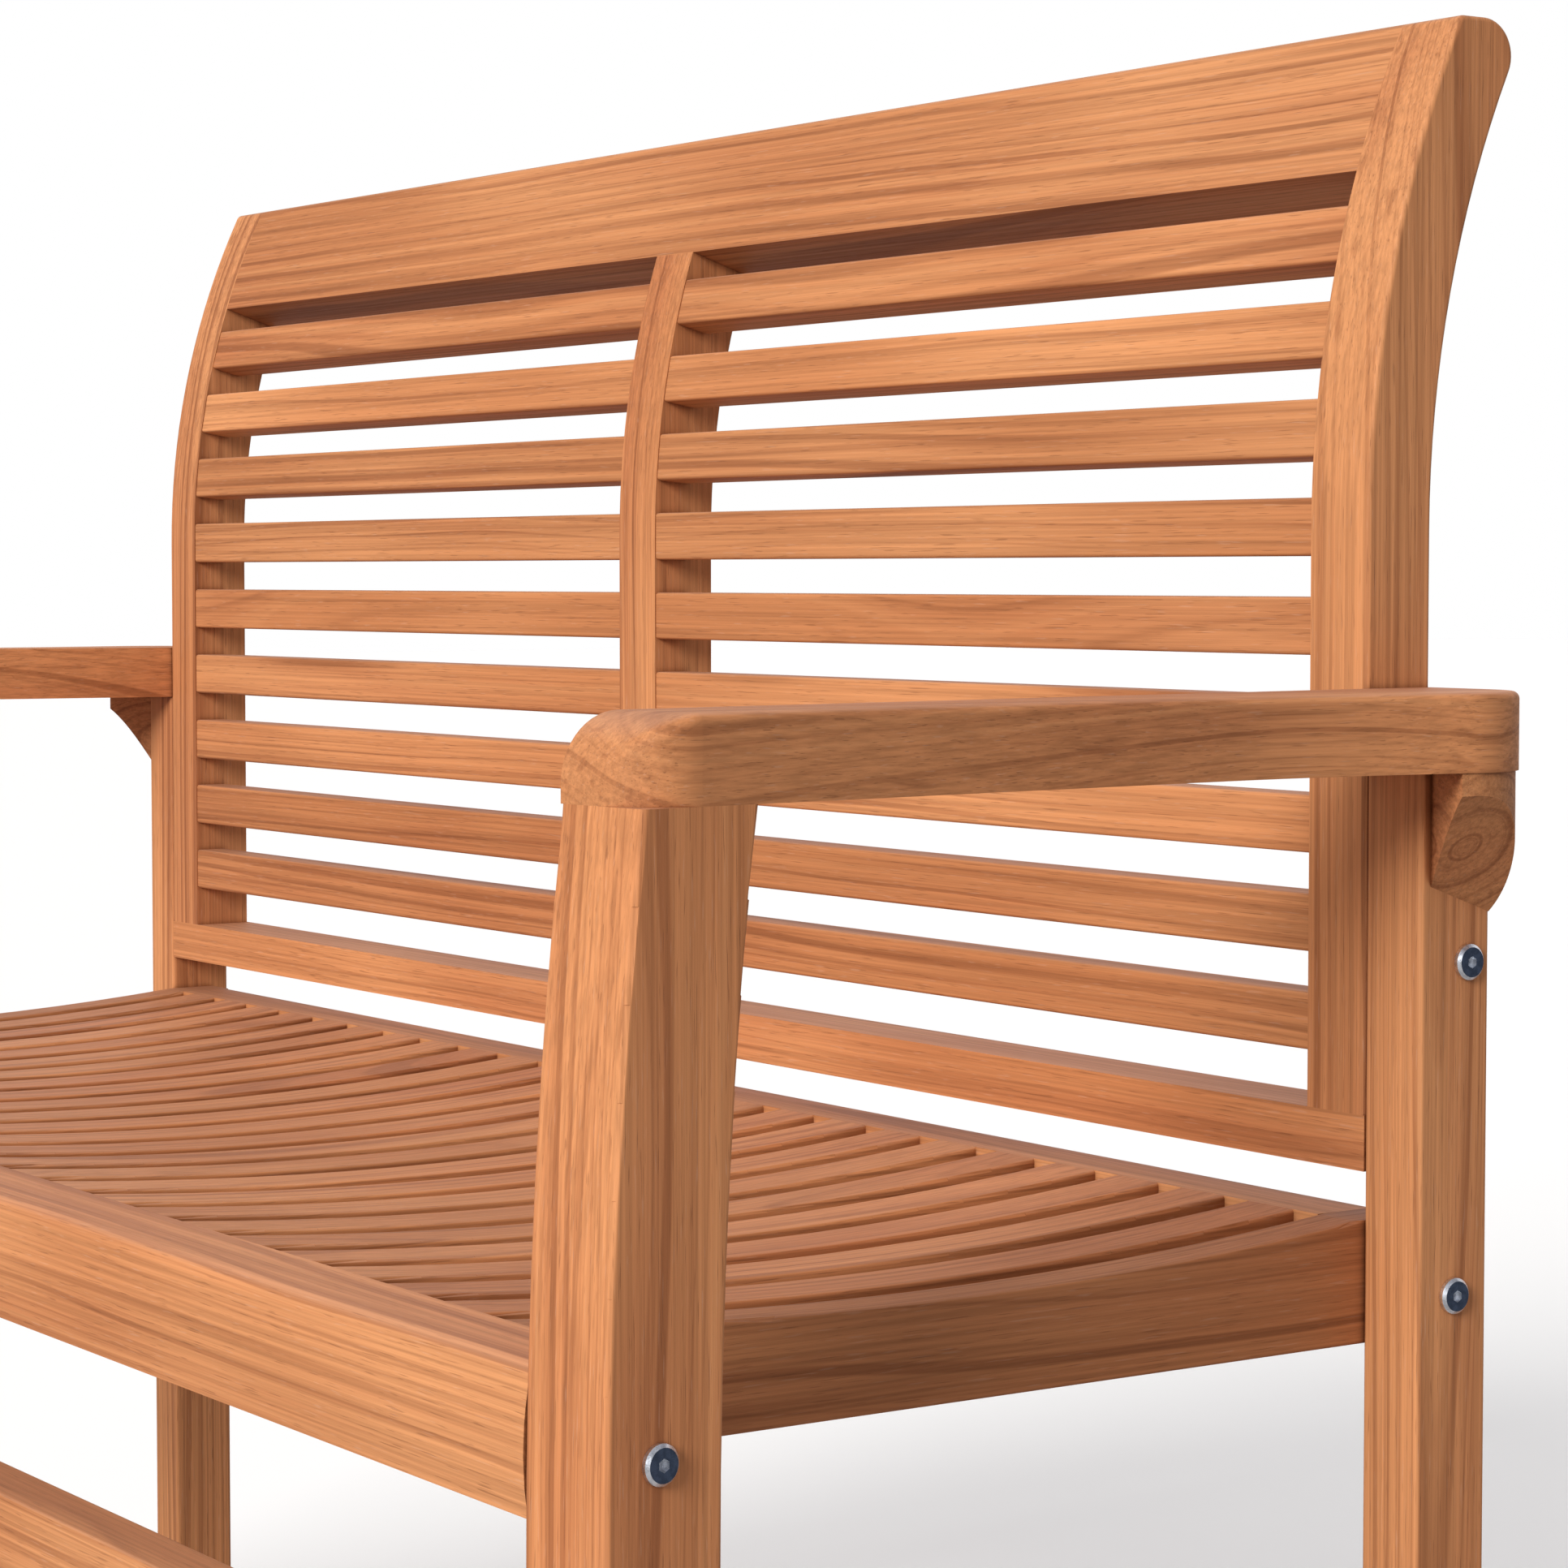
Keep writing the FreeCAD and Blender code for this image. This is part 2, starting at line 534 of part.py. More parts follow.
def lower_front_rail():
    """The lower rail between the front legs."""
    front = FRONT_LEG_Y + LOWER_RAIL_SETBACK
    rail = block(-SPARE_LENGTH, SPARE_LENGTH, front, front + LOWER_RAIL_DEPTH,
                 LOWER_RAIL_TOP - LOWER_RAIL_HEIGHT, LOWER_RAIL_TOP)
    rail = eased(rail, V(1, 0, 0), 500, EDGE_EASE)
    return one_solid(cut_all(trimmed_to_front_legs(rail), front_rail_holes(1)))


def dish_arc(height_shift):
    """The dished line of the seat between the two rails, as three points."""
    rear = V(0, SEAT_REAR_EDGE, SEAT_HEIGHT + height_shift)
    front = V(0, SEAT_FRONT_EDGE, FRONT_TOP + height_shift)
    middle = (rear + front) * 0.5 + V(0, 0, -SEAT_DISH)
    return front, middle, rear


def seat_side_rail():
    """The right hand side rail: a dished top, a straight underside, bolted to the back leg."""
    front, middle, rear = dish_arc(0)
    back_end = SEAT_REAR_EDGE + REAR_RAIL_DEPTH
    heel = V(0, back_end, SEAT_HEIGHT)
    edges = [Part.Arc(front, middle, rear).toShape(),
             Part.LineSegment(rear, heel).toShape(),
             Part.LineSegment(heel, V(0, back_end, SEAT_BOTTOM)).toShape(),
             Part.LineSegment(V(0, back_end, SEAT_BOTTOM), V(0, SEAT_FRONT_EDGE, SEAT_BOTTOM)).toShape(),
             Part.LineSegment(V(0, SEAT_FRONT_EDGE, SEAT_BOTTOM), front).toShape()]
    rail = Part.Face(Part.Wire(Part.__sortEdges__(edges))).extrude(V(SIDE_RAIL_WIDTH, 0, 0))
    rail.translate(V(SIDE_RAIL_INNER, 0, 0))
    rail = eased(rail, V(0, 1, 0), 100, SLAT_EASE)
    rail = one_solid(rail.fuse(side_rail_tenon()).removeSplitter())
    bolt_way = bolt_hole(SEAT_BOLT_SEAT, LEFTWARD, SEAT_BOLT_LENGTH)
    return one_solid(cut_all(rail, [bolt_way, rear_rail_tenon()]))


def side_rail_tenon():
    """The side rail's front tenon."""
    return block(SIDE_RAIL_INNER + 5, INNER_HALF_WIDTH - 5, SEAT_FRONT_EDGE - TENON_LENGTH, SEAT_FRONT_EDGE,
                 SEAT_BOTTOM + 9, FRONT_TOP - 9)


def rear_rail_tenon():
    """The rear rail's right hand tenon."""
    return block(SIDE_RAIL_INNER, SIDE_RAIL_INNER + TENON_LENGTH, SEAT_REAR_EDGE + RAIL_TENON_FRONT,
                 SEAT_REAR_EDGE + RAIL_TENON_BACK, SEAT_BOTTOM + RAIL_TENON_SHOULDER,
                 SEAT_HEIGHT - RAIL_TENON_SHOULDER)


def seat_rear_rail():
    """The rail across the back of the seat, between the side rails."""
    back_end = SEAT_REAR_EDGE + REAR_RAIL_DEPTH
    rail = block(-SIDE_RAIL_INNER, SIDE_RAIL_INNER, SEAT_REAR_EDGE, back_end, SEAT_BOTTOM, SEAT_HEIGHT)
    back_edges = [edge for edge in long_edges(rail, V(1, 0, 0), 500) if edge.CenterOfMass.y > back_end - 0.01]
    rail = one_solid(rail.makeFillet(EDGE_EASE, back_edges))
    rail = rail.fuse(both_sides(rear_rail_tenon())).removeSplitter()
    tools = both_sides(bolt_hole(SEAT_BOLT_SEAT, LEFTWARD, SEAT_BOLT_LENGTH))
    tools += both_sides(nut_hole(seat_nut_centre(), BACKWARD))
    tools += [seat_slat_tenon(index, False) for index in range(SEAT_SLAT_COUNT)]
    return one_solid(cut_all(rail, tools))


# ---------------------------------------------------------------- seat slats
def seat_slat_centre(index):
    """The middle of a seat slat's width; index 0 is at the left hand end."""
    return (index - (SEAT_SLAT_COUNT - 1) / 2) * SEAT_SLAT_PITCH


def seat_slat_tenon(index, at_front):
    """One of the two tenons of a seat slat."""
    centre = seat_slat_centre(index)
    half = SEAT_SLAT_WIDTH / 2 - SLAT_TENON_SHOULDER
    end = SEAT_FRONT_EDGE if at_front else SEAT_REAR_EDGE
    top = FRONT_TOP if at_front else SEAT_HEIGHT
    first = end - TENON_LENGTH if at_front else end
    return block(centre - half, centre + half, first, first + TENON_LENGTH,
                 top - SEAT_SLAT_THICKNESS + SLAT_TENON_SHOULDER + 1, top - SLAT_TENON_SHOULDER - 1)


def seat_slat(index):
    """A dished slat that runs from the front rail to the rear rail."""
    top = dish_arc(0)
    low = dish_arc(-SEAT_SLAT_THICKNESS)
    edges = [Part.Arc(*top).toShape(), Part.Arc(*low).toShape(),
             Part.LineSegment(top[0], low[0]).toShape(), Part.LineSegment(top[2], low[2]).toShape()]
    slat = Part.Face(Part.Wire(Part.__sortEdges__(edges))).extrude(V(SEAT_SLAT_WIDTH, 0, 0))
    slat.translate(V(seat_slat_centre(index) - SEAT_SLAT_WIDTH / 2, 0, 0))
    slat = eased(slat, V(0, 1, 0), 100, SLAT_EASE)
    tenons = [seat_slat_tenon(index, True), seat_slat_tenon(index, False)]
    return one_solid(slat.fuse(tenons).removeSplitter())


# ---------------------------------------------------------------- back frame
def back_slat_position(row):
    """Lower and upper edge of a row of back slats, along the curve; row 0 is the lowest."""
    low = BACK_SLAT_FIRST + row * BACK_SLAT_PITCH
    return low, low + BACK_SLAT_HEIGHT


def straight_slat(x0, x1, row, shoulder):
    """A straight bar square to the back's curve at a row of slats."""
    low, high = back_slat_position(row)
    middle = (low + high) / 2
    angle = max(0.0, middle - CURVE_START) / CURVE_RADIUS
    front = BACK_SLAT_SETBACK + shoulder
    back = BACK_SLAT_SETBACK + BACK_SLAT_THICKNESS - shoulder
    half = BACK_SLAT_HEIGHT / 2 - shoulder
    bar = block(x0, x1, front, back, -half, half)
    bar.rotate(V(0, 0, 0), V(1, 0, 0), -math.degrees(angle))
    bar.translate(back_point(middle, 0))
    return bar


def back_slat_tenons(row):
    """The two tenons of the right hand slat in a row."""
    shoulder = SLAT_TENON_SHOULDER
    return [straight_slat(STILE_INNER, STILE_INNER + TENON_LENGTH, row, shoulder),
            straight_slat(STILE_WIDTH / 2 - TENON_LENGTH, STILE_WIDTH / 2, row, shoulder)]


def back_slat_pair(row):
    """The two slats of a row, one each side of the centre stile."""
    slat = eased(straight_slat(STILE_WIDTH / 2, STILE_INNER, row, 0), V(1, 0, 0), 100, SLAT_EASE)
    slat = one_solid(slat.fuse(back_slat_tenons(row)).removeSplitter())
    return both_sides(slat)


def top_rail_tenon():
    """The right hand tenon of the top rail."""
    return curved_bar(STILE_INNER, STILE_INNER + 2 * TENON_LENGTH, TOP_RAIL_BOTTOM + TOP_TENON_BELOW,
                      top_position() - TOP_TENON_ABOVE, BACK_TENON_FRONT, BACK_TENON_BACK)


def stile_foot_tenon(x_centre):
    """The tenon at the foot of a stile."""
    half = STILE_WIDTH / 2 - STILE_TENON_SHOULDER
    return block(x_centre - half, x_centre + half, BACK_TENON_FRONT, STILE_DEPTH - BACK_TENON_FRONT,
                 STILE_FOOT - TENON_LENGTH, STILE_FOOT)


def centre_stile_top_tenon():
    """The tenon at the top of the centre stile."""
    half = STILE_WIDTH / 2 - STILE_TENON_SHOULDER
    return curved_bar(-half, half, TOP_RAIL_BOTTOM - OVERLAP, TOP_RAIL_BOTTOM + TENON_LENGTH,
                      BACK_TENON_FRONT, BACK_TENON_BACK)


def slat_mortises(rows_of_tenons):
    """Every mortise that one stile needs for the back slats."""
    return [rows_of_tenons(row) for row in range(BACK_SLAT_ROWS)]


def back_stile():
    """The right hand stile: upright below, curving back above the arm, with a rounded top."""
    bar = curved_bar(STILE_INNER, INNER_HALF_WIDTH, STILE_FOOT, top_position() + SPARE_HEIGHT, 0, STILE_DEPTH)
    bar = topped(bar, STILE_INNER, INNER_HALF_WIDTH)
    outer = [edge for edge in long_edges(bar, V(0, 0, 1), 60)
             if edge.CenterOfMass.x > INNER_HALF_WIDTH - 0.01]
    bar = one_solid(bar.makeFillet(EDGE_EASE, outer))
    bar = one_solid(bar.fuse(stile_foot_tenon((STILE_INNER + INNER_HALF_WIDTH) / 2)).removeSplitter())
    tools = slat_mortises(lambda row: back_slat_tenons(row)[0])
    insert_start = V(INNER_HALF_WIDTH + 1, BACK_BOLT_Y, BACK_BOLT_Z)
    tools += [top_rail_tenon(), rod(insert_start, LEFTWARD, INSERT_LENGTH + 1, INSERT_DIAMETER)]
    return one_solid(cut_all(bar, tools))


def back_centre_stile():
    """The centre stile, from the bottom rail to the top rail."""
    bar = curved_bar(-STILE_WIDTH / 2, STILE_WIDTH / 2, STILE_FOOT, TOP_RAIL_BOTTOM, 0, STILE_DEPTH)
    bar = one_solid(bar.fuse([stile_foot_tenon(0), centre_stile_top_tenon()]).removeSplitter())
    right = slat_mortises(lambda row: back_slat_tenons(row)[1])
    return one_solid(cut_all(bar, right + [mirrored(tool) for tool in right]))


def back_top_rail():
    """The wide rail across the top of the back, curved in section like the stiles."""
    bar = curved_bar(-STILE_INNER, STILE_INNER, TOP_RAIL_BOTTOM, top_position() + SPARE_HEIGHT, 0, TOP_RAIL_THICKNESS)
    bar = topped(bar, -STILE_INNER, STILE_INNER)
    bar = one_solid(bar.fuse(both_sides(top_rail_tenon())).removeSplitter())
    return one_solid(cut_all(bar, [centre_stile_top_tenon()]))


def back_bottom_rail():
    """The rail under the stiles, between the back legs."""
    rail = block(-INNER_HALF_WIDTH, INNER_HALF_WIDTH, 0, BACK_RAIL_DEPTH, BACK_RAIL_BOTTOM, STILE_FOOT)
    back_edges = [edge for edge in long_edges(rail, V(1, 0, 0), 500) if edge.CenterOfMass.y > 1]
    rail = rail.makeFillet(EDGE_EASE, back_edges)
    outer_stile = (STILE_INNER + INNER_HALF_WIDTH) / 2
    tools = [stile_foot_tenon(0)] + both_sides(stile_foot_tenon(outer_stile)) + both_sides(back_rail_dowel())
    return one_solid(cut_all(rail, tools))


# ---------------------------------------------------------------- hardware groups
def threaded_insert():
    """The threaded insert in the right hand stile that takes the back bolt."""
    start = V(INNER_HALF_WIDTH, BACK_BOLT_Y, BACK_BOLT_Z)
    body = rod(start, LEFTWARD, INSERT_LENGTH, INSERT_DIAMETER)
    return one_solid(body.cut(rod(start, LEFTWARD, INSERT_LENGTH - 1, BOLT_DIAMETER)))


def doubled(shapes):
    """Every shape with its mirror image."""
    return [copy for shape in shapes for copy in both_sides(shape)]


def hardware():
    """Fasteners by kind; identical ones share a node as separate solids."""
    nuts = [barrel_nut(front_nut_centre(seat), BACKWARD, INWARD) for seat in FRONT_SEATS]
    nuts.append(barrel_nut(seat_nut_centre(), BACKWARD, LEFTWARD))
    return {
        "front_bolts": doubled([bolt(seat, INWARD, FRONT_BOLT_LENGTH) for seat in FRONT_SEATS]),
        "seat_bolts": doubled([bolt(SEAT_BOLT_SEAT, LEFTWARD, SEAT_BOLT_LENGTH)]),
        "back_bolts": doubled([bolt(BACK_BOLT_SEAT, LEFTWARD, BACK_BOLT_LENGTH)]),
        "barrel_nuts": doubled(nuts),
        "threaded_inserts": doubled([threaded_insert()]),
        "front_rail_dowels": doubled(FRONT_DOWELS),
        "back_rail_dowels": doubled([back_rail_dowel()]),
        "bracket_dowels": doubled(BRACKET_DOWELS),
    }


# ---------------------------------------------------------------- assembly
def pairs():
    """Pieces that come as a right hand and a left hand one."""
    return {"front_leg": front_leg(), "rear_leg": rear_leg(), "arm": arm(), "arm_bracket": arm_bracket(),
            "seat_side_rail": seat_side_rail(), "back_stile": back_stile()}


def nodes():
    """Every node of the bench: its name and its solids."""
    found = {}
    for name, shape in pairs().items():
        found[name + "_right"] = [shape]
        found[name + "_left"] = [mirrored(shape)]
    found["seat_front_rail"] = [seat_front_rail()]
    found["seat_rear_rail"] = [seat_rear_rail()]
    found["lower_front_rail"] = [lower_front_rail()]
    found["back_top_rail"] = [back_top_rail()]
    found["back_bottom_rail"] = [back_bottom_rail()]
    found["back_centre_stile"] = [back_centre_stile()]
    for index in range(SEAT_SLAT_COUNT):
        found["seat_slat_%02d" % (index + 1)] = [seat_slat(index)]
    for row in range(BACK_SLAT_ROWS):
        found["back_slat_row_%d" % (row + 1)] = back_slat_pair(row)
    found.update(hardware())
    return found


def main():
    """Write one STEP file for each node."""
    os.makedirs("parts", exist_ok=True)
    found = nodes()
    everything = Part.makeCompound([solid for solids in found.values() for solid in solids])
    whole = everything.optimalBoundingBox(False)
    shift = V(0, -(whole.YMin + whole.YMax) / 2, 0)
    for name, solids in found.items():
        shape = solids[0] if len(solids) == 1 else Part.makeCompound(solids)
        shape = shape.copy()
        shape.translate(shift)
        if not shape.isValid():
            print("not valid:", name)
        shape.exportStep("parts/%s.step" % name)
    size = [round(length, 1) for length in (whole.XLength, whole.YLength, whole.ZLength)]
    print("nodes:", len(found), "size:", size)
    print("y shift:", round(shift.y, 2), "z from:", round(whole.ZMin, 3))


main()
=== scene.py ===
"""Looks for the teak garden bench: procedural wood and steel, floor, lights and camera.

Everything is in metres, in the part's own frame: X along the bench, Y from front to back, Z up.
"""

import math
from collections import namedtuple

import bpy
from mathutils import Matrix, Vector


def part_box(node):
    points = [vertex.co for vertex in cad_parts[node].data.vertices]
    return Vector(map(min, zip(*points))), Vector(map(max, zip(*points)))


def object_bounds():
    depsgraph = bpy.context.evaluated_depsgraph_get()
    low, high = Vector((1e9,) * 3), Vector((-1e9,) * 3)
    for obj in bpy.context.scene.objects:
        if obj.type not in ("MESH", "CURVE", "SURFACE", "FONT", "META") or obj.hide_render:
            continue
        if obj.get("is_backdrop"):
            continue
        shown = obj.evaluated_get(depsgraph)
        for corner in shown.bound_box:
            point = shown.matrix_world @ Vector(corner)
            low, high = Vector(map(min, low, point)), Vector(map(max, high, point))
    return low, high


# ---------------------------------------------------------------- camera, in metres and degrees
CAMERA_PLACE = (1.6275, -0.8635, 0.6881)
CAMERA_YAW = 55.71
CAMERA_PITCH = -3.0
CAMERA_LENS = 91.6
CAMERA_SENSOR = 36.0

# ---------------------------------------------------------------- studio
KEY_FROM = (0.30, -0.86, 0.40)
KEY_STRENGTH = 2.95
KEY_SPREAD = 24.0
TOP_FROM = (-0.15, -0.25, 0.95)
TOP_STRENGTH = 0.85
TOP_SPREAD = 70.0
REAR_FROM = (-0.45, 0.85, 0.14)
REAR_STRENGTH = 1.1
REAR_SPREAD = 80.0
AMBIENT = (0.310, 0.310, 0.345, 1.0)    # the light that reaches shaded faces, a little cool
BACKDROP = (1.0, 1.0, 1.0, 1.0)
FLOOR_SIZE = 60.0
FLOOR_COLOUR = (1.0, 0.985, 0.945)
FLOOR_BOUNCE = (0.42, 0.41, 0.40)       # how bright the floor is to everything but the camera
FLOOR_ROUGHNESS = 0.8
FLOOR_SPECULAR = 0.1

# ---------------------------------------------------------------- teak, linear colours
PALE_WOOD = (0.64, 0.275, 0.110)
MID_WOOD = (0.51, 0.196, 0.073)
DARK_WOOD = (0.25, 0.078, 0.027)
RED_WOOD = (0.42, 0.136, 0.052)
# up-facing faces are mixed towards this greyer, paler colour
PALE_TOP_COLOUR = (0.52, 0.285, 0.19)
PORE_DARK = (0.19, 0.065, 0.025)
PORE_PALE = (0.72, 0.47, 0.34)
# painted shade: multiplied into the wood where other wood is near, in joints and between the seat slats
PAINTED_SHADE_TINT = (0.40, 0.29, 0.23)

# ---------------------------------------------------------------- teak, layers of noise
# across and along are cycles per metre, across the grain and along it
Layer = namedtuple("Layer", "across along detail rough warp")
WANDER = Layer(5.0, 1.6, 2.0, 0.45, 0.0)
RIPPLE = Layer(26.0, 3.0, 2.0, 0.5, 0.0)
FIBRE = Layer(640.0, 5.0, 3.0, 0.6, 0.0)
STREAKS = Layer(190.0, 1.8, 3.0, 0.55, 0.3)
BROAD = Layer(14.0, 2.2, 2.0, 0.5, 0.6)
PATCHES = Layer(5.0, 3.5, 1.0, 0.4, 0.0)
DARK_PORES = Layer(1500.0, 55.0, 1.0, 0.5, 0.0)
PALE_PORES = Layer(1300.0, 75.0, 1.0, 0.5, 0.0)

# ---------------------------------------------------------------- teak, growth rings, in metres
RINGS_PER_METRE = 185.0
RING_DETAIL = 3.0
RING_ROUGH = 0.62
RING_WANDER = 0.016            # how far the rings stray from straight
RING_RIPPLE = 0.25             # the small ripples, as a share of that
PITH_NEAR = 0.035
PITH_FAR = 0.11
KNOT_REACH = 0.004             # the brackets are cut from around a knot

# ---------------------------------------------------------------- teak, steps
# from low, from high and, where they aren't 0 and 1, to low, to high
PATCH_STEP = (0.30, 0.70)
RED_STEP = (0.45, 0.72, 0.0, 0.55)
RING_STRENGTH_STEP = (0.30, 0.65, 0.28, 0.66)
DARK_RING_STEP = (0.52, 0.34)
PALE_RING_STEP = (0.56, 0.75, 0.0, 0.45)
STREAK_STEP = (0.54, 0.72, 0.0, 0.42)
FIBRE_STEP = (0.28, 0.72, 0.84, 1.14)
DARK_PORE_STEP = (0.63, 0.74)
PALE_PORE_STEP = (0.64, 0.76)
PALE_TOP_STEP = (0.55, 0.9, 0.0, 0.30)
END_GRAIN_STEP = (0.6, 0.85, 1.0, 0.96)
# the step of the painted shade, from how open a point is
PAINTED_SHADE_STEP = (0.25, 0.90)
WOOD_ROUGHNESS_STEP = (0.2, 0.8, 0.72, 0.55)
DARK_PORE_SHARE = 0.40
PALE_PORE_SHARE = 0.14
JOINT_PAINTED_SHADE_REACH = 0.005             # how far the painted shade in a joint spreads, in metres
SLOT_PAINTED_SHADE_REACH = 0.016             # the same for the painted shade between the seat slats
OCCLUSION_SAMPLES = 4
WOOD_SPECULAR = 0.16
FIBRE_HEIGHT, RING_HEIGHT, PORE_HEIGHT = 0.7, 0.25, -0.6
WOOD_BUMP = (0.0004, 0.35)     # distance in metres and strength

# ---------------------------------------------------------------- differences from piece to piece
GOLDEN = 0.6180339887
TURN_SHIFT = 0.37
TURNS = {"along": 1, "across_u": 2, "across_v": 3, "pith_angle": 5, "pith_reach": 7, "tone": 11}
SHIFT_ALONG = 3.0              # how far the figure is shifted in each piece, in metres
SHIFT_ACROSS = 2.0
TONE_LEAST, TONE_SPAN = 0.94, 0.12

# ---------------------------------------------------------------- steel and beech
# painted reflection over the zinc's own blue: the dark of the bolt heads' flat face
BLUE_ZINC_AND_PAINTED_REFLECTION = (0.075, 0.10, 0.155)
# painted highlight over the zinc's own colour: the bright bevel and inside of the socket
BRIGHT_ZINC_AND_PAINTED_HIGHLIGHT = (0.80, 0.83, 0.88)
PLAIN_STEEL = (0.42, 0.42, 0.43)
BEECH = (0.62, 0.40, 0.21)
SOCKET_HIGHLIGHT_REACH = 0.0025          # finds the inside of the hex sockets, for their painted highlight
SOCKET_HIGHLIGHT_STEP = (0.75, 0.45)
# where the flat face's painted reflection starts
BOLT_FACE_REFLECTION_STEP = (0.965, 0.99)
SCRATCHES_PER_METRE = 2600.0
STAINS_PER_METRE = 420.0
STAIN_STEP = (0.3, 0.7, 0.75, 1.15)
BOLT_ROUGHNESS_STEP = (0.2, 0.8, 0.22, 0.42)
BOLT_BUMP = (0.0001, 0.2)
MARKS_PER_METRE = 900.0
MARK_STEP = (0.3, 0.7, 0.7, 1.1)
PLAIN_ROUGHNESS_STEP = (0.2, 0.8, 0.3, 0.5)
FLECKS_PER_METRE = 700.0
FLECK_STEP = (0.35, 0.7, 0.75, 1.05)
BEECH_ROUGHNESS = 0.6
BEECH_BUMP = (0.0002, 0.2)
FINE_NOISE = (3.0, 0.6)        # detail and roughness
SOFT_NOISE = (2.0, 0.5)

SHARP_ANGLE = math.radians(33)
AXES = "XYZ"
MIX_FIRST, MIX_SECOND, MIX_RESULT = 6, 7, 2     # a Mix node's colour sockets


# ---------------------------------------------------------------- node helpers
class Graph:
    """A small wrapper that adds nodes to one material."""

    def __init__(self, name):
        self.material = bpy.data.materials.new(name)
        self.material.use_nodes = True
        self.tree = self.material.node_tree
        self.tree.nodes.clear()
        output = self.tree.nodes.new("ShaderNodeOutputMaterial")
        self.shader = self.tree.nodes.new("ShaderNodeBsdfPrincipled")
        self.tree.links.new(self.shader.outputs[0], output.inputs["Surface"])
        self.place = self.tree.nodes.new("ShaderNodeTexCoord")

    def set(self, socket, value):
        """Give a socket a link or a constant."""
        if isinstance(value, bpy.types.NodeSocket):
            self.tree.links.new(value, socket)
        elif isinstance(value, tuple) and len(value) == 3 and socket.type == "RGBA":
            socket.default_value = (*value, 1.0)
        else:
            socket.default_value = value

    def math(self, operation, first, second=0.0):
        node = self.tree.nodes.new("ShaderNodeMath")
        node.operation = operation
        self.set(node.inputs[0], first)
        self.set(node.inputs[1], second)
        return node.outputs[0]

    def add(self, first, second):
        return self.math("ADD", first, second)

    def times(self, first, second):
        return self.math("MULTIPLY", first, second)

    def combine(self, x, y, z):
        node = self.tree.nodes.new("ShaderNodeCombineXYZ")
        for socket, value in zip(node.inputs, (x, y, z)):
            self.set(socket, value)
        return node.outputs[0]

    def separate(self, vector):
        node = self.tree.nodes.new("ShaderNodeSeparateXYZ")
        self.set(node.inputs[0], vector)
        return list(node.outputs)

    def noise(self, vector, detail=2.0, rough=0.5, warp=0.0):
        """Noise from 0 to 1 at a point whose scale is already set."""
        node = self.tree.nodes.new("ShaderNodeTexNoise")
        node.inputs["Scale"].default_value = 1.0
        node.inputs["Detail"].default_value = detail
        node.inputs["Roughness"].default_value = rough
        node.inputs["Distortion"].default_value = warp
        self.set(node.inputs["Vector"], vector)
        return node.outputs["Fac"]

    def noise_line(self, place, detail, rough):
        """Noise along one line."""
        node = self.tree.nodes.new("ShaderNodeTexNoise")
        node.noise_dimensions = "1D"
        node.inputs["Scale"].default_value = 1.0
        node.inputs["Detail"].default_value = detail
        node.inputs["Roughness"].default_value = rough
        self.set(node.inputs["W"], place)
        return node.outputs["Fac"]

    def ramp(self, value, low, high, to_low=0.0, to_high=1.0):
        """A clamped smooth step from one range to another."""
        node = self.tree.nodes.new("ShaderNodeMapRange")
        node.interpolation_type = "SMOOTHSTEP"
        self.set(node.inputs["Value"], value)
        node.inputs["From Min"].default_value = low
        node.inputs["From Max"].default_value = high
        node.inputs["To Min"].default_value = to_low
        node.inputs["To Max"].default_value = to_high
        return node.outputs["Result"]

    def mix(self, share, first, second, blend="MIX"):
        """A mix of two colours."""
        node = self.tree.nodes.new("ShaderNodeMix")
        node.data_type = "RGBA"
        node.blend_type = blend
        self.set(node.inputs["Factor"], share)
        self.set(node.inputs[MIX_FIRST], first)
        self.set(node.inputs[MIX_SECOND], second)
        return node.outputs[MIX_RESULT]

    def shade(self, colour, amount):
        """A colour multiplied by a number."""
        node = self.tree.nodes.new("ShaderNodeVectorMath")
        node.operation = "SCALE"
        self.set(node.inputs[0], colour)
        self.set(node.inputs["Scale"], amount)
        return node.outputs[0]

    def bump(self, height, distance, strength):
        node = self.tree.nodes.new("ShaderNodeBump")
        node.inputs["Strength"].default_value = strength
        node.inputs["Distance"].default_value = distance
        self.set(node.inputs["Height"], height)
        self.set(self.shader.inputs["Normal"], node.outputs[0])

    def seam(self, reach):
        """1 in the open and less in the corner between two pieces."""
        node = self.tree.nodes.new("ShaderNodeAmbientOcclusion")
        node.samples = OCCLUSION_SAMPLES
        node.inputs["Distance"].default_value = reach
        return node.outputs["AO"]


# ---------------------------------------------------------------- teak
def fraction(seed, purpose):
    """A steady number from 0 to 1 for a piece and a purpose."""
    turn = TURNS[purpose]
    return (seed * GOLDEN * turn + turn * TURN_SHIFT) % 1.0


def piece_centre(node):
    """The middle of a CAD node, used to place its pith; a row of two slats has its middle on X = 0."""
    low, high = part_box(node)
    return (low + high) / 2


def layer_noise(graph, figure, layer):
    """One layer of noise at a point of the figure, which is (across, across, along) the grain."""
    scales = (layer.across, layer.across, layer.along)
    point = graph.combine(*(graph.times(part, scale) for part, scale in zip(figure, scales)))
    return graph.noise(point, layer.detail, layer.rough, layer.warp)


